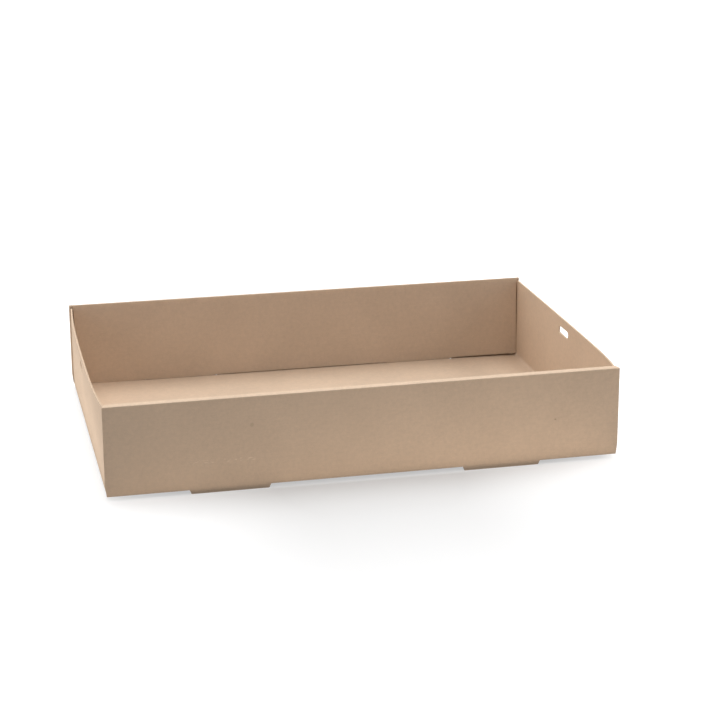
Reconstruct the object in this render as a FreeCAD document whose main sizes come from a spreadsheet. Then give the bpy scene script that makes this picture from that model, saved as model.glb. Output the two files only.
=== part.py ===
import FreeCAD, Part
import os
import Sketcher

# Folded cardboard tray: one die-cut sheet, open at the top.
# +X runs along the long walls and +Z is up.
# The origin is under the middle of the tray, at the tips of its feet.
# The bodies are drawn with the base's underside at height 0, and the finished tray is lifted onto its feet.

SIZES = {
    "tray_length": 450,
    "tray_width": 310,
    "wall_height": 80.6,
    "board": 1.5,
    "fold_radius": 0.7,
    "crease_radius": 0.15,
    "layer_gap": 0.25,
    "band_drop": 1.3,
    "inner_lean": 4.5,
    "inner_lift": 0.3,
    "inner_side_gap": 1.3,
    "fold_leg": 4,
    "corner_leg": 3,
    "corner_cut": 1,
    "corner_cut_height": 11,
    "foot_centre": 119.25,
    "foot_root": 70.5,
    "foot_slant": 2,
    "foot_drop": 3.4,
    "tab_length": 66,
    "tab_slant": 3,
    "tab_drop": 1,
    "slot_gap": 0.3,
    "end_inset": 1.3,
    "end_drop": 3.2,
    "end_bow": 4.6,
    "bow_start": 6,
    "flap_length": 62,
    "flap_slant": 9,
    "flap_lift": 0.8,
    "flap_notch": 1.5,
    "notch_gap": 0.5,
    "hand_slot_length": 28,
    "hand_slot_width": 6.8,
    "hand_slot_depth": 11.6,
}

# Places that several outlines share, worked out from the sizes.
FOLD_INSIDE = "(Sizes.board + Sizes.crease_radius)"
BAND = "(3 * Sizes.board + 2 * Sizes.layer_gap)"
FRONT = "(-Sizes.tray_width / 2)"
SIDE = "(Sizes.tray_length / 2)"
END_FACE = "(Sizes.tray_length / 2 - Sizes.end_inset)"
END_BASE = f"({END_FACE} - {FOLD_INSIDE})"
END_TOP = "(Sizes.wall_height - Sizes.end_drop)"
FLAP_FACE = "(Sizes.tray_width / 2 - Sizes.board - Sizes.layer_gap)"
FLAP_TOP = f"({END_TOP} - Sizes.flap_notch)"
END_HALF = f"({FLAP_FACE} - Sizes.corner_leg)"
FOLD_HALF = f"({FLAP_FACE} - {FOLD_INSIDE})"
INNER_SIDE = f"({END_FACE} - Sizes.board - Sizes.inner_side_gap)"
INNER_FOOT = f"({BAND} + Sizes.inner_lean)"
SLOT_DEPTH = f"({INNER_FOOT} + Sizes.slot_gap)"
BAND_SLOPE = f"(Sizes.band_drop / {BAND})"
BAND_DEPTH = f"(Sizes.board * sqrt(1 + {BAND_SLOPE} * {BAND_SLOPE}))"

MARGIN = 5
LAP = 1
MATCH = 0.01


def new_sheet(doc):
    sheet = doc.addObject("Spreadsheet::Sheet", "Sizes")
    for row, (name, value) in enumerate(SIZES.items(), start=1):
        sheet.set(f"A{row}", name)
        sheet.set(f"B{row}", str(value))
        sheet.setAlias(f"B{row}", name)
    doc.recompute()
    return sheet


def origin_plane(body, role):
    return next(item for item in body.Origin.OriginFeatures if item.Role == role)


def new_sketch(body, name, role, offset=None):
    sketch = body.newObject("Sketcher::SketchObject", name)
    sketch.AttachmentSupport = [(origin_plane(body, role), "")]
    sketch.MapMode = "FlatFace"
    if offset:
        sketch.setExpression(".AttachmentOffset.Base.z", offset)
    return sketch


def value_of(thing, expression):
    return float(thing.evalExpression(expression))


def pin_point(sketch, edge, end, place):
    """Hold one end of an edge at a pair of expressions, measured from the sketch's origin."""
    for kind, expression in zip(("DistanceX", "DistanceY"), place):
        value = value_of(sketch, expression)
        index = sketch.addConstraint(Sketcher.Constraint(kind, -1, 1, edge, end, value))
        sketch.setExpression(f"Constraints[{index}]", expression)


def outline(body, name, role, loops, offset=None):
    """A sketch of closed straight-sided loops, each a list of corners given as pairs of expressions."""
    sketch = new_sketch(body, name, role, offset)
    for corners in loops:
        first = sketch.GeometryCount
        points = [FreeCAD.Vector(value_of(sketch, x), value_of(sketch, y), 0) for x, y in corners]
        for start, end in zip(points, points[1:] + points[:1]):
            sketch.addGeometry(Part.LineSegment(start, end))
        for step, place in enumerate(corners):
            following = first + (step + 1) % len(corners)
            sketch.addConstraint(Sketcher.Constraint("Coincident", first + step, 2, following, 1))
            pin_point(sketch, first + step, 1, place)
    return sketch


def rectangle(left, bottom, right, top):
    return [(left, bottom), (right, bottom), (right, top), (left, top)]


def pad(body, name, sketch, length, symmetric=False, reverse=False):
    feature = body.newObject("PartDesign::Pad", name)
    feature.Profile = sketch
    feature.setExpression("Length", length)
    feature.SideType = "Symmetric" if symmetric else "One side"
    feature.Reversed = reverse
    body.Document.recompute()
    return feature


def pocket(body, name, sketch, length, symmetric=False, reverse=False):
    before = body.Tip.Shape.Volume
    feature = body.newObject("PartDesign::Pocket", name)
    feature.Profile = sketch
    feature.setExpression("Length", length)
    feature.SideType = "Symmetric" if symmetric else "One side"
    feature.Reversed = reverse
    body.Document.recompute()
    if feature.Shape.Volume >= before:
        raise RuntimeError(f"{name} cut nothing")
    return feature


def straight_edges(shape, axis, place):
    """Names of the straight edges that run along one axis through a place given in the other two."""
    others = [i for i in range(3) if i != axis]
    names = []
    for number, edge in enumerate(shape.Edges, start=1):
        ends = [edge.Vertexes[0].Point, edge.Vertexes[-1].Point]
        if all(abs(end[i] - want) < MATCH for end in ends for i, want in zip(others, place)):
            names.append(f"Edge{number}")
    return names


def round_edges(body, name, axis, places, radius):
    base = body.Tip
    names = []
    for place in places:
        names += straight_edges(base.Shape, axis, [value_of(body, expression) for expression in place])
    if len(names) < len(places):
        raise RuntimeError(f"{name} found {len(names)} edges")
    feature = body.newObject("PartDesign::Fillet", name)
    feature.Base = (base, names)
    feature.setExpression("Radius", radius)
    body.Document.recompute()
    return feature


def spans(centre, length, slant=None):
    """The same stretch left and right of the middle, as pairs of ends, drawn in by the slant."""
    half = f"({length} / 2 - {slant})" if slant else f"({length} / 2)"
    return [(f"{sign} * {centre} - {half}", f"{sign} * {centre} + {half}") for sign in (-1, 1)]


def trapezoids(centre, length, slant, top, bottom):
    """A pair of plates, full length at the top and shorter by the slant at both ends of the bottom."""
    loops = []
    for wide, narrow in zip(spans(centre, length), spans(centre, length, slant)):
        left = [(wide[0], top), (wide[0], "0"), (narrow[0], bottom)]
        right = [(narrow[1], bottom), (wide[1], "0"), (wide[1], top)]
        loops.append(left + right)
    return loops


def roll_over(body):
    """The band along the top and the inner panel, which leans into the tray towards its foot."""
    top = "Sizes.wall_height"
    profile = [
        (FRONT, f"{top} - Sizes.band_drop"),
        (f"{FRONT} + {BAND}", top),
        (f"{FRONT} + {INNER_FOOT}", "-Sizes.tab_drop"),
        (f"{FRONT} + {INNER_FOOT} - Sizes.board", "-Sizes.tab_drop"),
        (f"{FRONT} + {BAND} - Sizes.board", f"{top} - Sizes.board * {BAND_SLOPE} - {BAND_DEPTH}"),
        (FRONT, f"{top} - Sizes.band_drop - {BAND_DEPTH}"),
    ]
    sketch = outline(body, "roll_over_profile", "YZ_Plane", [profile])
    pad(body, "roll_over", sketch, "Sizes.tray_length", symmetric=True)

    beyond = f"{SIDE} + {MARGIN}"
    inside = f"{FRONT} + {INNER_FOOT} + {MARGIN}"
    ends = []
    for sign in ("", "-"):
        ends.append([
            (f"{sign}({SIDE})", f"{FRONT} + Sizes.board"),
            (f"{sign}({beyond})", f"{FRONT} + Sizes.board"),
            (f"{sign}({beyond})", inside),
            (f"{sign}({INNER_SIDE})", inside),
            (f"{sign}({INNER_SIDE})", f"{FRONT} + {BAND}"),
        ])
    sketch = outline(body, "roll_over_end_outline", "XY_Plane", ends)
    pocket(body, "roll_over_ends", sketch, "2 * Sizes.wall_height", symmetric=True)


def tabs(body):
    """Cut the inner panel's lower edge clear of the base, but for two tabs that pass through the slots."""
    lift = "Sizes.board + Sizes.inner_lift"
    tip = "-Sizes.tab_drop"
    below = f"-Sizes.tab_drop - {MARGIN}"
    beyond = f"({SIDE} + {MARGIN})"
    wide = spans("Sizes.foot_centre", "Sizes.tab_length")
    narrow = spans("Sizes.foot_centre", "Sizes.tab_length", "Sizes.tab_slant")
    left = [
        (f"-{beyond}", below), (f"-{beyond}", lift),
        (wide[0][0], lift), (narrow[0][0], tip), (narrow[0][0], below),
    ]
    right = [
        (beyond, below), (beyond, lift),
        (wide[1][1], lift), (narrow[1][1], tip), (narrow[1][1], below),
    ]
    middle = [
        (narrow[0][1], below), (narrow[0][1], tip), (wide[0][1], lift),
        (wide[1][0], lift), (narrow[1][0], tip), (narrow[1][0], below),
    ]
    sketch = outline(body, "tab_outline", "XZ_Plane", [left, middle, right])
    pocket(body, "tabs", sketch, "2 * Sizes.tray_width", symmetric=True)


def outer_panel(body):
    """The outer panel and the short leg of base that carries it, joined by a rounded fold."""
    profile = [
        (FRONT, "0"),
        (f"{FRONT} + Sizes.fold_leg", "0"),
        (f"{FRONT} + Sizes.fold_leg", "Sizes.board"),
        (f"{FRONT} + Sizes.board", "Sizes.board"),
        (f"{FRONT} + Sizes.board", f"Sizes.wall_height - Sizes.band_drop - {BAND_DEPTH} / 2"),
        (FRONT, f"Sizes.wall_height - Sizes.band_drop - {BAND_DEPTH} / 2"),
    ]
    sketch = outline(body, "outer_panel_profile", "YZ_Plane", [profile])
    pad(body, "outer_panel", sketch, "Sizes.tray_length", symmetric=True)


def round_folds(body):
    """Outside and inside radii of the bottom fold and the two creases of the band."""
    top = "Sizes.wall_height"
    outside = [
        (FRONT, "0"),
        (FRONT, f"{top} - Sizes.band_drop"),
        (f"{FRONT} + {BAND}", top),
    ]
    inside = [
        (f"{FRONT} + Sizes.board", "Sizes.board"),
        (f"{FRONT} + Sizes.board", f"{top} - Sizes.band_drop + Sizes.board * {BAND_SLOPE} - {BAND_DEPTH}"),
        (f"{FRONT} + {BAND} - Sizes.board", f"{top} - Sizes.board * {BAND_SLOPE} - {BAND_DEPTH}"),
    ]
    round_edges(body, "folds_outside", 0, outside, "Sizes.fold_radius")
    round_edges(body, "folds_inside", 0, inside, "Sizes.crease_radius")


def trim_corners(body):
    """Take the leg off past the end walls' folds, and ease the outer panel's two lower corners."""
    leg = [
        rectangle(f"{sign} * {END_BASE}", f"{FRONT} + {FOLD_INSIDE}",
                  f"{sign} * ({SIDE} + {MARGIN})", f"{FRONT} + Sizes.fold_leg + {MARGIN}")
        for sign in (-1, 1)
    ]
    sketch = outline(body, "leg_end_outline", "XY_Plane", leg)
    pocket(body, "leg_ends", sketch, "Sizes.board", reverse=True)

    eased = []
    for sign in (-1, 1):
        eased.append([
            (f"{sign} * ({SIDE} - Sizes.corner_cut)", "0"),
            (f"{sign} * ({SIDE} - Sizes.corner_cut)", f"-{MARGIN}"),
            (f"{sign} * ({SIDE} + {MARGIN})", f"-{MARGIN}"),
            (f"{sign} * ({SIDE} + {MARGIN})", "Sizes.corner_cut_height"),
            (f"{sign} * {SIDE}", "Sizes.corner_cut_height"),
        ])
    sketch = outline(body, "eased_corner_outline", "XZ_Plane", eased)
    pocket(body, "eased_corners", sketch, "2 * Sizes.tray_width", symmetric=True)


def slot_outlines(near, far):
    ends = spans("Sizes.foot_centre", "Sizes.foot_root")
    return [rectangle(left, near, right, far) for left, right in ends]


def feet(body):
    """Slots in the leg, and behind each the foot that stays in the plane of the outer panel."""
    outlines = slot_outlines(f"{FRONT} + Sizes.board", f"{FRONT} + Sizes.fold_leg + {LAP}")
    sketch = outline(body, "leg_slot_outline", "XY_Plane", outlines)
    pocket(body, "leg_slots", sketch, FOLD_INSIDE, reverse=True)

    outlines = trapezoids(
        "Sizes.foot_centre", "Sizes.foot_root", "Sizes.foot_slant", FOLD_INSIDE, "-Sizes.foot_drop")
    sketch = outline(body, "foot_outline", "XZ_Plane", outlines, "Sizes.tray_width / 2 - Sizes.board")
    pad(body, "feet", sketch, "Sizes.board")


def front_wall(doc):
    body = doc.addObject("PartDesign::Body", "front_wall")
    roll_over(body)
    tabs(body)
    outer_panel(body)
    round_folds(body)
    trim_corners(body)
    feet(body)
    return body


def end_fold(body):
    """The fold at the foot of the end wall, with the straight strip above it."""
    profile = [
        (f"{END_FACE} - Sizes.fold_leg", "0"),
        (END_FACE, "0"),
        (END_FACE, "Sizes.bow_start"),
        (f"{END_FACE} - Sizes.board", "Sizes.bow_start"),
        (f"{END_FACE} - Sizes.board", "Sizes.board"),
        (f"{END_FACE} - Sizes.fold_leg", "Sizes.board"),
    ]
    sketch = outline(body, "end_fold_profile", "XZ_Plane", [profile])
    pad(body, "end_fold", sketch, f"2 * {FOLD_HALF}", symmetric=True)
    round_edges(body, "end_fold_outside", 1, [(END_FACE, "0")], "Sizes.fold_radius")
    inside = (f"{END_FACE} - Sizes.board", "Sizes.board")
    round_edges(body, "end_fold_inside", 1, [inside], "Sizes.crease_radius")


def bowed_strip(body, name):
    """The end wall's upper edge in plan: two arcs of one radius, a board's thickness apart along X."""
    sketch = new_sketch(body, name, "XY_Plane", END_TOP)
    half = value_of(sketch, END_HALF)
    bow = value_of(sketch, "Sizes.end_bow")
    faces = [END_FACE, f"{END_FACE} - Sizes.board"]
    for face in faces:
        x = value_of(sketch, face)
        points = [FreeCAD.Vector(x + out, y, 0) for out, y in ((0, -half), (bow, 0), (0, half))]
        sketch.addGeometry(Part.Arc(*points))
    for end in (-1, 1):
        corners = [FreeCAD.Vector(value_of(sketch, face), end * half, 0) for face in faces]
        sketch.addGeometry(Part.LineSegment(*corners))
    radius = f"({END_HALF} * {END_HALF} + Sizes.end_bow * Sizes.end_bow) / (2 * Sizes.end_bow)"
    for line, end, sign in ((2, 1, "-"), (3, 2, "")):
        for arc, side in ((0, 1), (1, 2)):
            sketch.addConstraint(Sketcher.Constraint("Coincident", line, side, arc, end))
            pin_point(sketch, line, side, (faces[arc], f"{sign}{END_HALF}"))
    for arc in (0, 1):
        index = sketch.addConstraint(Sketcher.Constraint("Radius", arc, value_of(sketch, radius)))
        sketch.setExpression(f"Constraints[{index}]", radius)
    return sketch


def end_panel(body):
    """The single end panel, straight along its foot and bowed outwards along its top edge."""
    strip = rectangle(f"{END_FACE} - Sizes.board", f"-{END_HALF}", END_FACE, END_HALF)
    lower = outline(body, "end_panel_foot", "XY_Plane", [strip], "Sizes.bow_start")
    upper = bowed_strip(body, "end_panel_top")
    panel = body.newObject("PartDesign::AdditiveLoft", "end_panel")
    panel.Profile = lower
    panel.Sections = [upper]
    panel.Ruled = True
    body.Document.recompute()


def corner_flaps(body):
    """Flaps folded off both ends of the end panel, which lie between the layers of the long walls."""
    reach = f"{END_FACE} - Sizes.flap_length"
    lift = "Sizes.board + Sizes.flap_lift"
    loops = []
    for sign in ("-", ""):
        loops.append([
            (END_FACE, f"{sign}({END_HALF})"),
            (END_FACE, f"{sign}({FLAP_FACE})"),
            (reach, f"{sign}({FLAP_FACE})"),
            (reach, f"{sign}({FLAP_FACE} - Sizes.board)"),
            (f"{END_FACE} - Sizes.board", f"{sign}({FLAP_FACE} - Sizes.board)"),
            (f"{END_FACE} - Sizes.board", f"{sign}({END_HALF})"),
        ])
    sketch = outline(body, "corner_flap_outline", "XY_Plane", loops, lift)
    pad(body, "corner_flaps", sketch, f"{FLAP_TOP} - ({lift})")

    outside = [(END_FACE, f"{sign}({FLAP_FACE})") for sign in ("-", "")]
    inside = [(f"{END_FACE} - Sizes.board", f"{sign}({FLAP_FACE} - Sizes.board)") for sign in ("-", "")]
    round_edges(body, "corner_folds_outside", 2, outside, "Sizes.fold_radius")
    round_edges(body, "corner_folds_inside", 2, inside, "Sizes.crease_radius")

    beyond = f"{reach} - {MARGIN}"
    slanted = f"{reach} + Sizes.flap_slant"
    low = f"{lift} + Sizes.flap_slant"
    high = f"{FLAP_TOP} - Sizes.flap_slant"
    slants = [
        [(reach, low), (beyond, low), (beyond, "0"), (slanted, "0"), (slanted, lift)],
        [(reach, high), (beyond, high), (beyond, "Sizes.wall_height"), (slanted, "Sizes.wall_height"),
         (slanted, FLAP_TOP)],
    ]
    sketch = outline(body, "flap_slant_outline", "XZ_Plane", slants)
    pocket(body, "flap_slants", sketch, "2 * Sizes.tray_width", symmetric=True)


def end_openings(body):
    """Notches that let the end panel pass under the long walls' bands, and the oval hand slot."""
    clear = f"(Sizes.tray_width / 2 - {BAND} - Sizes.notch_gap)"
    notches = [
        rectangle(f"{sign} * {clear}", FLAP_TOP, f"{sign} * Sizes.tray_width", "Sizes.wall_height")
        for sign in (-1, 1)
    ]
    sketch = outline(body, "notch_outline", "YZ_Plane", notches)
    pocket(body, "notches", sketch, "2 * Sizes.tray_length", symmetric=True)

    sketch = new_sketch(body, "hand_slot_outline", "YZ_Plane")
    radius = "(Sizes.hand_slot_width / 2)"
    centre = f"({END_TOP} - Sizes.hand_slot_depth)"
    run = "((Sizes.hand_slot_length - Sizes.hand_slot_width) / 2)"
    half, height, width = (value_of(sketch, size) for size in (run, centre, radius))
    for sign in (-1, 1):
        points = [FreeCAD.Vector(sign * (half + out), height + up * width, 0)
                  for out, up in ((0, -sign), (width, 0), (0, sign))]
        sketch.addGeometry(Part.Arc(*points))
    for sign in (1, -1):
        level = height + sign * width
        start = FreeCAD.Vector(sign * half, level, 0)
        sketch.addGeometry(Part.LineSegment(start, FreeCAD.Vector(-sign * half, level, 0)))
    for line, start, end in ((2, (1, 2), (0, 1)), (3, (0, 2), (1, 1))):
        sketch.addConstraint(Sketcher.Constraint("Tangent", line, 1, *start))
        sketch.addConstraint(Sketcher.Constraint("Tangent", line, 2, *end))
    for arc, sign in ((0, "-"), (1, "")):
        pin_point(sketch, arc, 3, (f"{sign}{run}", centre))
    index = sketch.addConstraint(Sketcher.Constraint("Radius", 0, width))
    sketch.setExpression(f"Constraints[{index}]", radius)
    pocket(body, "hand_slot", sketch, "2 * Sizes.tray_length", symmetric=True)


def right_end(doc):
    body = doc.addObject("PartDesign::Body", "right_end")
    end_fold(body)
    end_panel(body)
    corner_flaps(body)
    end_openings(body)
    return body


def base_panel(doc):
    """The floor of the tray between the folds, with a slot behind each foot."""
    body = doc.addObject("PartDesign::Body", "base_panel")
    half_length = f"({END_FACE} - Sizes.fold_leg + {LAP})"
    half_width = f"(Sizes.tray_width / 2 - Sizes.fold_leg + {LAP})"
    floor = rectangle(f"-{half_length}", f"-{half_width}", half_length, half_width)
    pad(body, "floor", outline(body, "floor_outline", "XY_Plane", [floor]), "Sizes.board")
    slots = slot_outlines(f"{FRONT} + {SLOT_DEPTH}", f"{FRONT} - {MARGIN}")
    slots += slot_outlines(f"-{FRONT} - {SLOT_DEPTH}", f"-{FRONT} + {MARGIN}")
    sketch = outline(body, "slot_outline", "XY_Plane", slots)
    pocket(body, "slots", sketch, "Sizes.board", reverse=True)
    return body


def mirrored(doc, name, source, normal):
    copy = doc.addObject("Part::Mirroring", name)
    copy.Source = source
    copy.Normal = normal
    return copy


def folded_tray(doc):
    """All panels of the sheet, joined at their folds into one solid and lifted onto the feet."""
    front = front_wall(doc)
    right = right_end(doc)
    back = mirrored(doc, "back_wall", front, FreeCAD.Vector(0, 1, 0))
    left = mirrored(doc, "left_end", right, FreeCAD.Vector(1, 0, 0))
    tray = doc.addObject("Part::MultiFuse", "folded_tray")
    tray.Shapes = [base_panel(doc), front, back, right, left]
    tray.Refine = True
    tray.Label = "folded_tray"
    tray.setExpression(".Placement.Base.z", "Sizes.foot_drop")
    return tray


def check(doc, pieces):
    for item in doc.Objects:
        if "Invalid" in item.State or "Error" in item.State:
            raise RuntimeError(f"{item.Name} failed: {item.State}")
    for piece in pieces:
        shape = piece.Shape
        if shape.isNull() or not shape.isValid():
            raise RuntimeError(f"{piece.Label} has no valid shape")
        if len(shape.Solids) != 1:
            raise RuntimeError(f"{piece.Label} is {len(shape.Solids)} solids")


def main():
    doc = FreeCAD.newDocument("tray")
    new_sheet(doc)
    pieces = [folded_tray(doc)]
    doc.recompute()
    check(doc, pieces)
    os.makedirs("parts", exist_ok=True)
    for piece in pieces:
        piece.Shape.exportStep(f"parts/{piece.Label}.step")
        box = piece.Shape.BoundBox
        print(piece.Label, "volume", round(piece.Shape.Volume), "size", box.XLength, box.YLength, box.ZLength)


main()
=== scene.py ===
import bpy
import math
import numpy as np
from mathutils import Matrix, Vector
from mathutils.kdtree import KDTree


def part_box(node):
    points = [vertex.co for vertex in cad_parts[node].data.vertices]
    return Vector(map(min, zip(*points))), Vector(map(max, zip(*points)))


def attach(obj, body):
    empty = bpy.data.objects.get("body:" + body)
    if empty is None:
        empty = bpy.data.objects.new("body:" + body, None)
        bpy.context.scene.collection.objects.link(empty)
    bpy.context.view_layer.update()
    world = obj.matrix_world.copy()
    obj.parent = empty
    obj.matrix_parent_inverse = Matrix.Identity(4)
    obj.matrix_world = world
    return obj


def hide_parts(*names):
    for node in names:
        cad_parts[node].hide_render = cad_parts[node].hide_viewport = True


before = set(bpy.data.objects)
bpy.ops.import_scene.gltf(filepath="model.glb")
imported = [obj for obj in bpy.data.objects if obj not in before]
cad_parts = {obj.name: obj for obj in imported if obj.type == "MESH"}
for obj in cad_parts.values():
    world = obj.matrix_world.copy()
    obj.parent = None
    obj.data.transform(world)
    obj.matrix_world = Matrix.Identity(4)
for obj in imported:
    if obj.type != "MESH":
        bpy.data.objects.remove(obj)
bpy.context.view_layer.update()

MM = 0.001
NODE = "folded_tray"

# The sheet, in metres, as in the solid it stands for.
BOARD = 1.5 * MM
FOLD_RADIUS = 0.7 * MM
CREASE_RADIUS = 0.15 * MM
LAYER_GAP = 0.25 * MM
WALL_HEIGHT = 80.6 * MM
BAND_DROP = 1.3 * MM
INNER_LEAN = 4.5 * MM
INNER_LIFT = 0.3 * MM
INNER_SIDE_GAP = 1.3 * MM
CORNER_CUT = 1 * MM
CORNER_CUT_HEIGHT = 11 * MM
FOOT_CENTRE = 119.25 * MM
FOOT_ROOT = 70.5 * MM
FOOT_SLANT = 2 * MM
FOOT_DROP = 3.4 * MM
TAB_LENGTH = 66 * MM
TAB_SLANT = 3 * MM
TAB_DROP = 1 * MM
SLOT_GAP = 0.3 * MM
END_INSET = 1.3 * MM
END_DROP = 3.2 * MM
END_BOW = 4.6 * MM
BOW_START = 6 * MM
FLAP_LENGTH = 62 * MM
FLAP_SLANT = 9 * MM
FLAP_NOTCH = 1.5 * MM
NOTCH_GAP = 0.5 * MM
HAND_SLOT_LENGTH = 28 * MM
HAND_SLOT_WIDTH = 6.8 * MM
HAND_SLOT_DEPTH = 11.6 * MM

# What a folded sheet does that a drawn one doesn't.
END_FOLD_RADIUS = 1.2 * MM
END_CREASE_RADIUS = 3 * MM
SKEW_FRONT = 2.5 * MM
SKEW_BACK = 3.5 * MM
BACK_CORNER_RISE = {-1: 0.6 * MM, 1: -1.2 * MM}
FOLD_SHIFT = {-1: 0, 1: 1 * MM}
BOW = {-1: END_BOW, 1: 3.3 * MM}
BOW_PEAK = {-1: -20 * MM, 1: -77 * MM}
FOOT_RISE = 0.9 * MM
INNER_RISE_REACH = 15 * MM
HAND_SLOT_SHIFT = {-1: 0, 1: 3 * MM}
BOW_POWER_BACK = {-1: 3, 1: 1.3}
BOW_POWER_FRONT = {-1: 3, 1: 3}

# Places that the panels share.
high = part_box(NODE)[1]
HALF_WIDTH = high.y
SIDE = high.x - END_BOW + END_INSET
HALF_BOARD = BOARD / 2
BAND = 3 * BOARD + 2 * LAYER_GAP
BAND_SLOPE = BAND_DROP / BAND
BAND_DEPTH = BOARD * math.hypot(1, BAND_SLOPE)
INNER_FOOT = BAND + INNER_LEAN
SLOT_DEPTH = INNER_FOOT + SLOT_GAP
END_FACE = SIDE - END_INSET
END_TOP = WALL_HEIGHT - END_DROP
LEG = 3 * MM
END_LEG = 6 * MM
END_BASE = END_FACE - END_LEG
END_RISE = 5.5 * MM
FLAP_FACE = HALF_WIDTH - BOARD - LAYER_GAP
FLAP_TOP = END_TOP - FLAP_NOTCH
FLAP_REACH = END_FACE - FLAP_LENGTH
FOLD_HALF = FLAP_FACE - LEG
INNER_SIDE = END_FACE - BOARD - INNER_SIDE_GAP
NOTCH = HALF_WIDTH - BAND - NOTCH_GAP
HAND_SLOT_HEIGHT = END_TOP - HAND_SLOT_DEPTH
RUB_HEIGHT = WALL_HEIGHT - 2.2 * MM
RUB_RISE = 0.2 * MM

# How finely the sheet is divided.
PITCH = 5 * MM
FOLD_STEPS = 6
SLOT_PITCH = 1.5 * MM
SLOT_MARGIN_Y = 6 * MM
SLOT_MARGIN_Z = 4.5 * MM
SLOT_RINGS = 3
WELD = 0.01 * MM


def lines(keys, pitch=PITCH):
    """Even steps no wider than the pitch between the key places, each of which is kept."""
    keys = sorted(set(round(key, 7) for key in keys))
    places = [keys[0]]
    for start, end in zip(keys, keys[1:]):
        count = max(1, math.ceil((end - start) / pitch - 1e-6))
        places += [start + (end - start) * step / count for step in range(1, count + 1)]
    return places


def both(values):
    return [sign * value for value in values for sign in (-1, 1)]


def ramp(value, start, end):
    return min(1, max(0, (value - start) / (end - start)))


FOOT_ENDS = (FOOT_CENTRE - FOOT_ROOT / 2, FOOT_CENTRE + FOOT_ROOT / 2)
TAB_ENDS = (FOOT_CENTRE - TAB_LENGTH / 2, FOOT_CENTRE + TAB_LENGTH / 2)
COLUMNS = lines([0] + both(FOOT_ENDS) + both(TAB_ENDS) + both([SIDE]))
ROWS = lines([0] + both([HALF_WIDTH - LEG, HALF_WIDTH - SLOT_DEPTH, FOLD_HALF, NOTCH]))
SLOT_HALF_Y = HAND_SLOT_LENGTH / 2 + SLOT_MARGIN_Y
SLOT_HALF_Z = HAND_SLOT_WIDTH / 2 + SLOT_MARGIN_Z


def end_of(x):
    return 1 if x > 0 else -1


def draw_in(x, limit):
    """Columns beyond the feet are squeezed so that the last one lies at the limit."""
    start = FOOT_ENDS[1]
    if abs(x) <= start:
        return x
    return math.copysign(start + (abs(x) - start) * (limit - start) / (SIDE - start), x)


def within(x, ends):
    return ends[0] - WELD < abs(x) < ends[1] + WELD


def foot_lift(x):
    """How far the foot of an inner panel springs up from the base between its tabs and at its right end."""
    if x > 0 and abs(x) > TAB_ENDS[1]:
        return ramp(abs(x), TAB_ENDS[1], TAB_ENDS[1] + PITCH)
    return 0.5 * ramp(TAB_ENDS[0] - abs(x), 0, PITCH)


def settle(place, held=False):
    """Where a point of the drawn tray lies in this one, which is out of square and lifts at its corners.

    held is for the inner panels, whose feet don't follow the base."""
    x, y, z = place
    if held:
        z += FOOT_RISE * foot_lift(x) * max(0, 1 - z / INNER_RISE_REACH)
    along = (x + SIDE) / (2 * SIDE)
    across = (y + HALF_WIDTH) / (2 * HALF_WIDTH)
    y += SKEW_FRONT * along * (1 - across) - SKEW_BACK * along * across
    if not held:
        corner = ramp(abs(x), FOOT_ENDS[1], SIDE) * ramp(y, -HALF_WIDTH / 3, HALF_WIDTH)
        z += BACK_CORNER_RISE[end_of(x)] * corner * max(0, 1 - z / WALL_HEIGHT)
    return x, y, z


def rubbed(place):
    """How far the board is stretched pale, which it is along the folded tops of the long walls."""
    depth = HALF_WIDTH - abs(place[1])
    stretched = ramp(place[2], RUB_HEIGHT, RUB_HEIGHT + RUB_RISE)
    return stretched * (1 - ramp(depth, BAND - BOARD, BAND - RUB_RISE))


class Sheet:
    """The board as middle points, each with the step from it to the face that is outside before folding."""

    def __init__(self):
        self.places = []
        self.steps = []
        self.wear = []
        self.inside = []
        self.faces = []

    def grid(self, rows, skip=None, held=False):
        """Faces between rows of (place, step) pairs, but for the cells that the skip function names."""
        first = len(self.places)
        wide = len(rows[0])
        for row in rows:
            for place, step in row:
                self.places.append(settle(place, held))
                self.steps.append(step)
                self.wear.append(rubbed(place))
                # The inner panels are marked for painted light: a paler copy of the board that lifts their
                # shade.
                self.inside.append(float(held))
        for i in range(len(rows) - 1):
            for j in range(wide - 1):
                if skip and skip(rows[i][j][0], rows[i + 1][j + 1][0]):
                    continue
                a = first + i * wide + j
                self.faces.append((a, a + 1, a + wide + 1, a + wide))

    def welded(self):
        """Numbers of the points that stand for each point, one for all that lie together."""
        tree = KDTree(len(self.places))
        for number, place in enumerate(self.places):
            tree.insert(place, number)
        tree.balance()
        return [min(found[1] for found in tree.find_range(place, WELD)) for place in self.places]

    def skins(self):
        """The closed board: its points, their marks, the faces of its skins, and those of its cut edges."""
        same = self.welded()
        places = np.array(self.places)
        steps = np.array(self.steps)
        faces = []
        for face in self.faces:
            face = [same[number] for number in face]
            a, b, c, d = places[face]
            if float(np.cross(c - a, d - b) @ steps[face].sum(0)) < 0:
                face.reverse()
            faces.append(face)
        kept = sorted({number for face in faces for number in face})
        outer = {number: index for index, number in enumerate(kept)}
        inner = {number: index + len(kept) for index, number in enumerate(kept)}
        points = np.concatenate([places[kept] + steps[kept], places[kept] - steps[kept]])
        sides = {}
        for face in faces:
            for a, b in zip(face, face[1:] + face[:1]):
                sides[(a, b)] = sides.get((a, b), 0) + 1
        skins = [[outer[number] for number in face] for face in faces]
        skins += [[inner[number] for number in reversed(face)] for face in faces]
        rims = [[outer[b], outer[a], inner[a], inner[b]] for a, b in sides if (b, a) not in sides]
        # The inside mark picks the inner panels, which are painted paler to lift their shade.
        marks = {"wear": self.wear, "inside": self.inside}
        marks = {name: [values[number] for number in kept] * 2 for name, values in marks.items()}
        return points, marks, skins, rims


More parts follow.
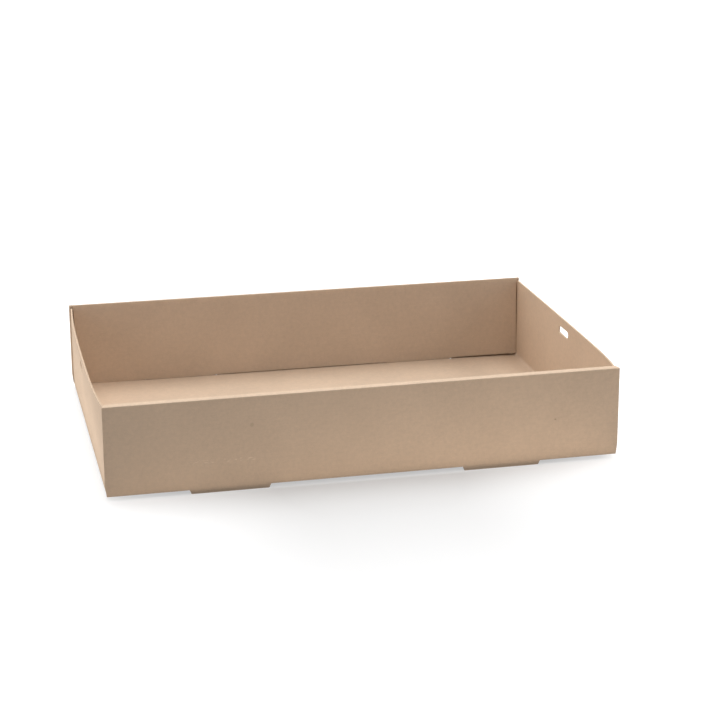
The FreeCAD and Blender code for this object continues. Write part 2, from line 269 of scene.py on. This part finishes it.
def section(corners, outer, inner, side=1):
    """A strip folded at each corner between its ends, as pairs of a middle point and the step to its face.

    The corners are those of its middle line. The outer face lies left of it, or right where side is -1."""
    corners = [np.array(corner, float) for corner in corners]
    normals = []
    for start, end in zip(corners, corners[1:]):
        run = (end - start) / np.linalg.norm(end - start)
        normals.append(side * np.array((-run[1], run[0])))
    path = [(corners[0], normals[0] * HALF_BOARD)]
    for corner, first, second in zip(corners[1:-1], normals, normals[1:]):
        middle = (first + second) / np.linalg.norm(first + second)
        spread = float(middle @ first)
        turn = 2 * math.acos(spread)
        outer_centre = corner + middle * (HALF_BOARD - outer) / spread
        inner_centre = corner - middle * (HALF_BOARD + inner) / spread
        for step in range(FOLD_STEPS + 1):
            part = step / FOLD_STEPS
            way = (first * math.sin((1 - part) * turn) + second * math.sin(part * turn)) / math.sin(turn)
            outside = outer_centre + way * outer
            inside = inner_centre + way * inner
            path.append(((outside + inside) / 2, (outside - inside) / 2))
    path.append((corners[-1], normals[-1] * HALF_BOARD))
    return path


def subdivided(path, keys=()):
    """The section with its straight runs cut to the pitch, and at the key heights."""
    out = [path[0]]
    for (start, start_step), (end, end_step) in zip(path, path[1:]):
        cuts = [0.0, 1.0]
        rise = end[1] - start[1]
        for key in keys:
            share = (key - start[1]) / rise if abs(rise) > 2 * PITCH else -1
            if 0 < share < 1:
                cuts.append(share)
        length = float(np.linalg.norm(end - start))
        for along in lines([cut * length for cut in cuts])[1:]:
            share = along / length
            out.append((start + (end - start) * share, start_step + (end_step - start_step) * share))
    return out


def long_wall_section():
    """Section of a long wall from base to inner panel's tabs, as depth from its outer face and height."""
    corners = [
        (LEG, HALF_BOARD),
        (HALF_BOARD, HALF_BOARD),
        (HALF_BOARD, WALL_HEIGHT - BAND_DROP + HALF_BOARD * BAND_SLOPE - BAND_DEPTH / 2),
        (BAND - HALF_BOARD, WALL_HEIGHT - HALF_BOARD * BAND_SLOPE - BAND_DEPTH / 2),
        (INNER_FOOT - HALF_BOARD, -TAB_DROP),
    ]
    return section(corners, FOLD_RADIUS, CREASE_RADIUS)


def base_limit(end):
    return END_BASE - FOLD_SHIFT[end]


def wall_limit(depth, z, end):
    """How far along X a long wall's sheet reaches, at a place of its section."""
    if z < LEG and depth < LEG + WELD:
        share = max(0, depth - HALF_BOARD) / (LEG - HALF_BOARD)
        return (SIDE - CORNER_CUT) * (1 - share) + base_limit(end) * share
    if depth > BOARD:
        share = min(1, (depth - BOARD) / (BAND - BOARD))
        return SIDE + (INNER_SIDE - SIDE) * share
    return SIDE - CORNER_CUT * max(0, 1 - z / CORNER_CUT_HEIGHT)


def long_wall(sheet, side):
    """The front wall, or the back one where side is 1."""
    lift = BOARD + INNER_LIFT
    path = subdivided(long_wall_section(), keys=(CORNER_CUT_HEIGHT, lift))
    top = max(range(len(path)), key=lambda k: path[k][0][1])
    fold_end = 1 + FOLD_STEPS

    def pair(x, place, step):
        return (x, side * (HALF_WIDTH - place[0]), place[1]), (0, -side * step[0], step[1])

    def row(place, step):
        return [pair(draw_in(x, wall_limit(*place, end_of(x))), place, step) for x in COLUMNS]

    def in_foot(a, b):
        return within(a[0], FOOT_ENDS) and within(b[0], FOOT_ENDS) and abs(b[0] - a[0]) < 2 * PITCH

    sheet.grid([row(*item) for item in path[:fold_end + 1]], skip=in_foot)
    tab_start = next(k for k in range(top, len(path)) if path[k][0][1] < lift + WELD)
    sheet.grid([row(*item) for item in path[fold_end:top + 1]])
    sheet.grid([row(*item) for item in path[top:tab_start + 1]], held=True)

    tab_rows = []
    for place, step in path[tab_start:]:
        share = (lift - place[1]) / (lift + TAB_DROP)
        tab_rows.append([(pair(x, place, step), share) for x in COLUMNS])
    slanted_strip(sheet, tab_rows, TAB_ENDS, TAB_SLANT, held=True)

    root, root_step = path[fold_end]
    straight = (HALF_BOARD, -FOOT_DROP)
    foot_rows = []
    for share in (0, 0.5, 1):
        place = root + (np.array(straight) - root) * share
        step = root_step if share == 0 else (-HALF_BOARD, 0)
        foot_rows.append([(pair(x, place, step), share) for x in COLUMNS])
    slanted_strip(sheet, foot_rows, FOOT_ENDS, FOOT_SLANT)


def slanted_strip(sheet, rows, ends, slant, held=False):
    """A pair of plates between the ends, whose short sides are drawn in by the slant towards the tip."""
    centre = sum(ends) / 2
    half = (ends[1] - ends[0]) / 2
    for sign in (-1, 1):
        plate = []
        for row in rows:
            kept = []
            for ((x, y, z), step), share in row:
                if sign * x > 0 and within(x, ends):
                    x = sign * centre + (x - sign * centre) * (1 - slant * share / half)
                    kept.append(((x, y, z), step))
            plate.append(kept)
        sheet.grid(plate, held=held)


def base(sheet):
    def in_slot(a, b):
        if min(abs(a[1]), abs(b[1])) < HALF_WIDTH - SLOT_DEPTH - WELD or a[1] * b[1] < 0:
            return False
        return within(a[0], FOOT_ENDS) and within(b[0], FOOT_ENDS) and abs(b[0] - a[0]) < 2 * PITCH

    down = (0, 0, -HALF_BOARD)
    rows = [[((draw_in(x, base_limit(end_of(x))), y, HALF_BOARD), down) for x in COLUMNS] for y in ROWS]
    sheet.grid(rows, skip=in_slot)


def lean(y, z, end):
    """How far out an end wall stands from its drawn place: in at its foot, and bowed along its top edge."""
    peak = BOW_PEAK[end]
    if y > peak:
        away = (y - peak) / (FOLD_HALF - peak)
        power = BOW_POWER_BACK[end]
    else:
        away = (peak - y) / (FOLD_HALF + peak)
        power = BOW_POWER_FRONT[end]
    rise = max(0, z - BOW_START) / (END_TOP - BOW_START)
    return BOW[end] * rise * (1 - min(1, away) ** power) - FOLD_SHIFT[end] * (1 - z / END_TOP)


def stadium(share):
    """A point on the hand slot's outline, at a share of its length from the middle of its +Y end."""
    radius = HAND_SLOT_WIDTH / 2
    run = HAND_SLOT_LENGTH - HAND_SLOT_WIDTH
    total = 2 * run + 2 * math.pi * radius
    along = (share % 1) * total
    pieces = [math.pi * radius / 2, run, math.pi * radius, run, math.pi * radius / 2]
    number = 0
    while along > pieces[number] and number < 4:
        along -= pieces[number]
        number += 1
    if number in (1, 3):
        side = 1 if number == 1 else -1
        return side * (run / 2 - along), side * radius
    angle = along / radius + {0: 0, 2: math.pi / 2, 4: 1.5 * math.pi}[number]
    shift = -run / 2 if number == 2 else run / 2
    return shift + radius * math.cos(angle), radius * math.sin(angle)


def around_slot(sheet, end, ys, zs):
    """Rings of faces from the square gap left in the end wall's grid to the rounded slot."""
    ring = [(ys[-1], z) for z in zs if z >= HAND_SLOT_HEIGHT - WELD]
    ring += [(y, zs[-1]) for y in reversed(ys[:-1])]
    ring += [(ys[0], z) for z in reversed(zs[:-1])]
    ring += [(y, zs[0]) for y in ys[1:]]
    ring += [(ys[-1], z) for z in zs[1:] if z <= HAND_SLOT_HEIGHT + WELD]
    steps = [0.0]
    for (y0, z0), (y1, z1) in zip(ring, ring[1:]):
        steps.append(steps[-1] + math.hypot((y1 - y0) * HAND_SLOT_WIDTH / HAND_SLOT_LENGTH * 2, z1 - z0))
    rows = []
    for number in range(SLOT_RINGS + 1):
        part = number / SLOT_RINGS
        row = []
        for (y, z), step in zip(ring, steps):
            inner_y, inner_z = stadium(step / steps[-1])
            inner_y += HAND_SLOT_SHIFT[end]
            inner_z += HAND_SLOT_HEIGHT
            row.append(wall_place(end, y + (inner_y - y) * part, z + (inner_z - z) * part))
        rows.append(row)
    sheet.grid(rows)


def wall_place(end, y, z):
    return (end * (END_FACE - HALF_BOARD + lean(y, z, end)), y, z), (end * HALF_BOARD, 0, 0)


def end_fold(sheet, end, inside):
    """The bend between the base and an end wall."""
    corners = [(END_BASE, HALF_BOARD), (END_FACE - HALF_BOARD, HALF_BOARD), (END_FACE - HALF_BOARD, END_RISE)]
    rows = []
    for (x, z), (out, up) in section(corners, END_FOLD_RADIUS, END_CREASE_RADIUS, side=-1):
        share = ramp(x, END_BASE, END_FACE - HALF_BOARD)
        row = []
        for y in inside:
            shift = lean(y, z, end) * share - FOLD_SHIFT[end] * (1 - share)
            row.append(((end * (x + shift), y, z), (end * out, 0, up)))
        rows.append(row)
    sheet.grid(rows)


def end_wall(sheet, end):
    """The single end panel with its hand slot, and the flaps at its corners."""
    slot_keys = [HAND_SLOT_HEIGHT - SLOT_HALF_Z, HAND_SLOT_HEIGHT, HAND_SLOT_HEIGHT + SLOT_HALF_Z]
    near = lines(slot_keys, SLOT_PITCH)
    heights = lines([END_RISE] + near + [FLAP_TOP, END_TOP])
    inside = [y for y in ROWS if abs(y) < FOLD_HALF + WELD]
    span = [y for y in inside if abs(y) <= SLOT_HALF_Y]
    half_y = max(span)
    end_fold(sheet, end, inside)

    def left_out(a, b):
        in_slot = max(abs(a[1]), abs(b[1])) < half_y + WELD
        in_slot = in_slot and min(a[2], b[2]) > slot_keys[0] - WELD and max(a[2], b[2]) < slot_keys[2] + WELD
        in_notch = min(a[2], b[2]) > FLAP_TOP - WELD and min(abs(a[1]), abs(b[1])) > NOTCH - WELD
        return in_slot or in_notch

    sheet.grid([[wall_place(end, y, z) for y in inside] for z in heights], skip=left_out)
    around_slot(sheet, end, span, near)
    for side in (-1, 1):
        corner_flap(sheet, end, side, [z for z in heights if z < FLAP_TOP + WELD])


def corner_flap(sheet, end, side, heights):
    """A flap folded off an end wall, which lies between the layers of a long wall."""
    corners = [
        (END_FACE - HALF_BOARD, FOLD_HALF),
        (END_FACE - HALF_BOARD, FLAP_FACE - HALF_BOARD),
        (FLAP_REACH, FLAP_FACE - HALF_BOARD),
    ]
    path = subdivided(section(corners, FOLD_RADIUS, CREASE_RADIUS, side=-1))
    rows = []
    for z in heights:
        near_edge = min(z - heights[0], heights[-1] - z)
        cut = max(0, FLAP_SLANT - near_edge)
        shift = lean(side * FOLD_HALF, z, end)
        row = []
        for (x, y), (out, over) in path:
            share = ramp(x, FLAP_REACH, END_FACE - LEG)
            x += cut * (1 - share) + shift
            row.append(((end * x, side * y, z), (end * out, side * over, 0)))
        rows.append(row)
    sheet.grid(rows)


def build_tray():
    sheet = Sheet()
    base(sheet)
    for side in (-1, 1):
        long_wall(sheet, side)
    for end in (-1, 1):
        end_wall(sheet, end)
    points, marks, skins, rims = sheet.skins()
    points[:, 2] += FOOT_DROP
    mesh = bpy.data.meshes.new("tray_sheet")
    mesh.from_pydata(points.tolist(), [], skins + rims)
    for name, values in marks.items():
        mesh.attributes.new(name, "FLOAT", "POINT").data.foreach_set("value", values)
    mesh.materials.append(kraft_board())
    mesh.materials.append(cut_edge())
    mesh.polygons.foreach_set("material_index", [0] * len(skins) + [1] * len(rims))
    tray = bpy.data.objects.new("tray_sheet", mesh)
    bpy.context.scene.collection.objects.link(tray)
    bpy.context.view_layer.objects.active = tray
    tray.select_set(True)
    bpy.ops.object.shade_smooth_by_angle(angle=math.radians(30))
    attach(tray, "root")
    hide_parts(NODE)
    return tray


class Wiring:
    """Nodes of one material. An input is given as a value, or as another node's output to link."""

    def __init__(self, name):
        self.material = bpy.data.materials.new(name)
        self.material.use_nodes = True
        self.tree = self.material.node_tree
        self.shader = self.tree.nodes["Principled BSDF"]
        self.place = self.node("TexCoord").outputs["Object"]

    def link(self, node, name, value):
        if isinstance(value, bpy.types.NodeSocket):
            self.tree.links.new(value, node.inputs[name])
        else:
            node.inputs[name].default_value = value

    def node(self, kind, inputs=None, **settings):
        node = self.tree.nodes.new("ShaderNode" + kind)
        for name, value in settings.items():
            setattr(node, name, value)
        for name, value in (inputs or {}).items():
            self.link(node, name, value)
        return node

    def math(self, operation, first, second):
        return self.node("Math", {0: first, 1: second}, operation=operation).outputs[0]

    def ramp(self, value, start, end, low=0.0, high=1.0):
        places = {"Value": value, "From Min": start, "From Max": end, "To Min": low, "To Max": high}
        return self.node("MapRange", places).outputs[0]

    def noise(self, size, detail=2.0, stretch=(1, 1, 1)):
        """Soft spots about as wide as the size, drawn out along an axis by its stretch."""
        scale = tuple(1 / (size * long) for long in stretch)
        place = self.node("Mapping", {"Vector": self.place, "Scale": scale}).outputs[0]
        return self.node("TexNoise", {"Vector": place, "Scale": 1.0, "Detail": detail}).outputs[0]

    def tones(self, *layers):
        """A factor near one that adds up noises, each with how much it counts."""
        total = 1.0
        for noise, amount in layers:
            swing = self.ramp(noise, 0, 1, -amount, amount)
            total = self.math("ADD", swing, total)
        return total

    def scale(self, colour, factor):
        return self.node("VectorMath", {0: colour, "Scale": factor}, operation="SCALE").outputs[0]

    def mix(self, share, first, second):
        node = self.node("Mix", {"Factor": share}, data_type="RGBA")
        self.link(node, 6, first)
        self.link(node, 7, second)
        return node.outputs[2]

    def spot(self, centre, reach):
        """One at the centre, falling to nothing at the reach."""
        away = self.node("VectorMath", {0: self.place, 1: centre}, operation="DISTANCE").outputs["Value"]
        return self.ramp(away, reach * SPOT_EDGE, reach, 1.0, 0.0)

    def finish(self, colour, roughness, height, depth):
        bump = self.node("Bump", {"Height": height, "Distance": depth, "Strength": 1.0})
        self.link(self.shader, "Base Color", colour)
        self.link(self.shader, "Roughness", roughness)
        self.shader.inputs["Specular IOR Level"].default_value = BOARD_SHEEN
        self.link(self.shader, "Normal", bump.outputs[0])
        return self.material


# Colours and sheen of the board, and marks on its front: a centre, how far it reaches, how strong it is.
KRAFT = (0.607, 0.46, 0.337)
# Painted light: a paler, less orange copy of the board for the inner panels, which lifts their shade.
KRAFT_INNER_PAINTED_LIGHT = (0.63, 0.5, 0.388)
KRAFT_RUBBED = (0.74, 0.568, 0.422)
KRAFT_EDGE = (0.62, 0.47, 0.34)
SPECK = (0.2, 0.13, 0.08, 1)
SCUFF = (0.85, 0.7, 0.56, 1)
SPOT_EDGE = 0.5
BOARD_SHEEN = 0.2
SPECKS = [
    ((167.3 * MM, -154 * MM, 40.3 * MM), 1.6 * MM, 0.9),
    ((170.7 * MM, -154 * MM, 55.5 * MM), 1.2 * MM, 0.3),
    ((-99.8 * MM, -154 * MM, 57.7 * MM), 2.2 * MM, 0.2),
]
SCUFF_CENTRE = (-121 * MM, -154 * MM, 27.7 * MM)
SCUFF_LENGTH = 70 * MM
SCUFF_HEIGHT = 4 * MM


def kraft_board():
    """Plain brown board: cloudy pulp, short fibres along the machine direction, a few marks, painted light on
    inner panels.
    """
    wiring = Wiring("kraft_board")
    clouds = wiring.noise(60 * MM, 3)
    mottle = wiring.noise(3.5 * MM, 3)
    grain = wiring.noise(0.9 * MM, 2)
    fibres = wiring.noise(1.3 * MM, 2, stretch=(8, 8, 1))
    tone = wiring.tones((clouds, 0.09), (mottle, 0.09), (grain, 0.07), (fibres, 0.035))
    wear = wiring.node("Attribute", attribute_name="wear").outputs["Fac"]
    worn = wiring.math("MULTIPLY", wear, wiring.ramp(wiring.noise(2.5 * MM), 0.3, 0.6, 0.75, 1.0))
    # Painted light: the inner panels take the paler copy of the board, which lifts their shade.
    inside = wiring.node("Attribute", attribute_name="inside").outputs["Fac"]
    colour = wiring.mix(inside, (*KRAFT, 1), (*KRAFT_INNER_PAINTED_LIGHT, 1))
    colour = wiring.mix(worn, colour, (*KRAFT_RUBBED, 1))
    colour = wiring.scale(colour, tone)
    for centre, reach, strength in SPECKS:
        share = wiring.math("MULTIPLY", wiring.spot(centre, reach), strength)
        colour = wiring.mix(share, colour, SPECK)
    colour = wiring.mix(scuff(wiring), colour, SCUFF)
    roughness = wiring.ramp(mottle, 0.3, 0.7, 0.8, 0.95)
    height = wiring.math("ADD", wiring.math("MULTIPLY", fibres, 0.25), grain)
    return wiring.finish(colour, roughness, height, 0.05 * MM)


def scuff(wiring):
    """A faint broken streak along the foot of the front wall."""
    x, y, z = wiring.node("SeparateXYZ", {0: wiring.place}).outputs
    along = wiring.math("ABSOLUTE", wiring.math("SUBTRACT", x, SCUFF_CENTRE[0]), 0.0)
    above = wiring.math("ABSOLUTE", wiring.math("SUBTRACT", z, SCUFF_CENTRE[2]), 0.0)
    inside = wiring.math(
        "MULTIPLY",
        wiring.ramp(along, SCUFF_LENGTH * 0.35, SCUFF_LENGTH / 2, 1.0, 0.0),
        wiring.ramp(above, SCUFF_HEIGHT * 0.25, SCUFF_HEIGHT / 2, 1.0, 0.0),
    )
    front = wiring.ramp(y, SCUFF_CENTRE[1], SCUFF_CENTRE[1] + 2 * MM, 1.0, 0.0)
    dashes = wiring.ramp(wiring.noise(1.2 * MM, 1, stretch=(3, 3, 1)), 0.56, 0.66, 0.0, 0.45)
    return wiring.math("MULTIPLY", wiring.math("MULTIPLY", inside, front), dashes)


def cut_edge():
    """The board's raw edge, rougher and a little paler than its faces."""
    wiring = Wiring("cut_edge")
    coarse = wiring.noise(1.8 * MM, 3)
    fine = wiring.noise(0.5 * MM, 2)
    colour = wiring.scale(KRAFT_EDGE, wiring.tones((coarse, 0.25), (fine, 0.2)))
    roughness = wiring.ramp(coarse, 0.3, 0.7, 0.85, 1.0)
    return wiring.finish(colour, roughness, wiring.math("ADD", coarse, fine), 0.15 * MM)


SENSOR = 36
FRAME_PIXELS = 720

# Each lamp's place, aim, width and depth, in metres, with its power and colour.
LAMPS = {
    "overhead": ((0, 0.3, 2.5), (0, 0, 0), (2.5, 2.5), 27, (1, 1, 1)),
    "overhead_back": ((0, 1, 2.3), (0, 0, 0), (2.2, 1.8), 28, (1, 1, 1)),
    "left": ((-2.2, -0.3, 0.9), (0, 0, 0), (1.5, 1.5), 12, (1, 1, 1)),
    "left_back": ((-2, 1.5, 0.8), (0, 0, 0), (1.4, 1.4), 12, (1, 1, 1)),
    "right": ((2.2, 0.2, 1.2), (0, 0, 0), (1.5, 1.5), 32, (1, 1, 1)),
    "card_right": ((0.45, -0.45, 0.12), (0.15, -0.155, 0.04), (0.3, 0.2), 0.18, (1, 0.92, 0.84)),
    "glow_front_left": ((-0.15, -0.207, 0.002), (-0.15, -0.207, 1), (0.15, 0.1), 0.024, (1, 0.87, 0.74)),
    "glow_front": ((0, -0.207, 0.002), (0, -0.207, 1), (0.15, 0.1), 0.035, (1, 0.87, 0.74)),
    "glow_front_right": ((0.15, -0.207, 0.002), (0.15, -0.207, 1), (0.15, 0.1), 0.039, (1, 0.87, 0.74)),
    "glow_left": ((-0.285, 0, 0.002), (-0.285, 0, 1), (0.1, 0.3), 0.1, (1, 0.95, 0.9)),
}
WORLD = 0.28

# The white floor, with how far it is lifted towards white under, beside and away from the tray.
FLOOR_REACH = 6
FLOOR_BOUNCE = 0.5
FLOOR_SHADE = 0.46
FLOOR_SHEEN = 0.2
LIFT = 0.31
LIFT_UNDER = 0.5
CONTACT_REACH = 0.016
SHADOW_REACH = (0.03, 0.33)
SHADOW_HALF_LENGTH = 0.05
SHADOW_STRETCH = 0.45


def camera():
    """The photograph's viewpoint, turned from the tray's middle and then shifted to frame it."""
    azimuth = math.radians(12.521)
    elevation = math.radians(17.784)
    roll = math.radians(-0.255)
    distance = 1909.65 * MM
    across = 26.88 * MM
    above = 52.95 * MM
    focal = 2059.8  # in pixels of the photograph
    level = math.cos(elevation)
    forward = Vector((math.sin(azimuth) * level, math.cos(azimuth) * level, -math.sin(elevation)))
    right = Vector((math.cos(azimuth), -math.sin(azimuth), 0))
    up = right.cross(forward)
    target = right * across + up * above + Vector((0, 0, FOOT_DROP))
    right, up = (math.cos(roll) * right + math.sin(roll) * up, -math.sin(roll) * right + math.cos(roll) * up)
    data = bpy.data.cameras.new("camera")
    data.sensor_width = SENSOR
    data.lens = SENSOR * focal / FRAME_PIXELS
    eye = bpy.data.objects.new("camera", data)
    place = target - forward * distance
    turn = Matrix((right, up, -forward)).transposed()
    eye.matrix_world = Matrix.Translation(place) @ turn.to_4x4()
    bpy.context.scene.collection.objects.link(eye)
    bpy.context.scene.camera = eye


def shown(tree):
    """One for the rays that show the background: the camera's, mirrored ones, and those through glass."""
    rays = tree.nodes.new("ShaderNodeLightPath").outputs
    share = rays["Is Camera Ray"]
    for name in ("Is Glossy Ray", "Is Transmission Ray"):
        larger = tree.nodes.new("ShaderNodeMath")
        larger.operation = "MAXIMUM"
        tree.links.new(share, larger.inputs[0])
        tree.links.new(rays[name], larger.inputs[1])
        share = larger.outputs[0]
    return share


def floor():
    """White ground, shown as a pale one that keeps the soft shadow."""
    corners = [(-1, -1), (1, -1), (1, 1), (-1, 1)]
    mesh = bpy.data.meshes.new("floor")
    mesh.from_pydata([(x * FLOOR_REACH, y * FLOOR_REACH, 0) for x, y in corners], [], [(0, 1, 2, 3)])
    ground = bpy.data.objects.new("floor", mesh)
    bpy.context.scene.collection.objects.link(ground)
    wiring = Wiring("floor")
    seen = shown(wiring.tree)
    wiring.shader.inputs["Specular IOR Level"].default_value = FLOOR_SHEEN
    x, y, _ = wiring.node("SeparateXYZ", {0: wiring.place}).outputs
    x = wiring.math("ABSOLUTE", x, 0.0)
    y = wiring.math("ABSOLUTE", y, 0.0)
    aside = wiring.math("MAXIMUM", wiring.math("SUBTRACT", x, SHADOW_HALF_LENGTH), 0.0)
    ahead = wiring.math("MAXIMUM", wiring.math("SUBTRACT", y, HALF_WIDTH), 0.0)
    ahead = wiring.math("MULTIPLY", ahead, SHADOW_STRETCH)
    step = wiring.node("CombineXYZ", {0: aside, 1: ahead}).outputs[0]
    away = wiring.node("VectorMath", {0: step}, operation="LENGTH").outputs["Value"]
    white = wiring.ramp(away, *SHADOW_REACH, LIFT, 1.0)
    beside = wiring.ramp(x, SIDE - LEG, SIDE + CONTACT_REACH, LIFT_UNDER, 0.0)
    under = wiring.ramp(y, HALF_WIDTH - LEG, HALF_WIDTH + CONTACT_REACH, 1.0, 0.0)
    white = wiring.math("MAXIMUM", white, wiring.math("MULTIPLY", beside, under))
    glow = wiring.node("Emission", {"Strength": wiring.math("MULTIPLY", white, seen)})
    wiring.link(wiring.shader, "Base Color", wiring.ramp(seen, 0, 1, FLOOR_BOUNCE, FLOOR_SHADE))
    wiring.shader.inputs["Roughness"].default_value = 1
    lifted = wiring.node("AddShader", {0: wiring.shader.outputs[0], 1: glow.outputs[0]}).outputs[0]
    wiring.link(wiring.tree.nodes["Material Output"], "Surface", lifted)
    mesh.materials.append(wiring.material)


def lamp(name, place, aim, size, power, colour):
    data = bpy.data.lights.new(name, "AREA")
    data.shape = "RECTANGLE"
    data.size, data.size_y = size
    data.energy = power
    data.color = colour
    item = bpy.data.objects.new(name, data)
    item.location = place
    item.rotation_euler = (Vector(aim) - Vector(place)).to_track_quat("-Z", "Y").to_euler()
    item.visible_camera = False
    bpy.context.scene.collection.objects.link(item)


def lights():
    for name, settings in LAMPS.items():
        lamp(name, *settings)


def sky():
    """Even light all round, shown as a white background."""
    world = bpy.data.worlds.new("world")
    bpy.context.scene.world = world
    world.use_nodes = True
    nodes = world.node_tree.nodes
    links = world.node_tree.links
    sky = nodes["Background"]
    sky.inputs["Color"].default_value = (1, 1, 1, 1)
    strength = nodes.new("ShaderNodeMapRange")
    strength.inputs["To Min"].default_value = WORLD
    strength.inputs["To Max"].default_value = 1
    links.new(shown(world.node_tree), strength.inputs["Value"])
    links.new(strength.outputs[0], sky.inputs["Strength"])


bpy.context.scene.view_settings.view_transform = "Standard"
build_tray()
camera()
floor()
lights()
sky()
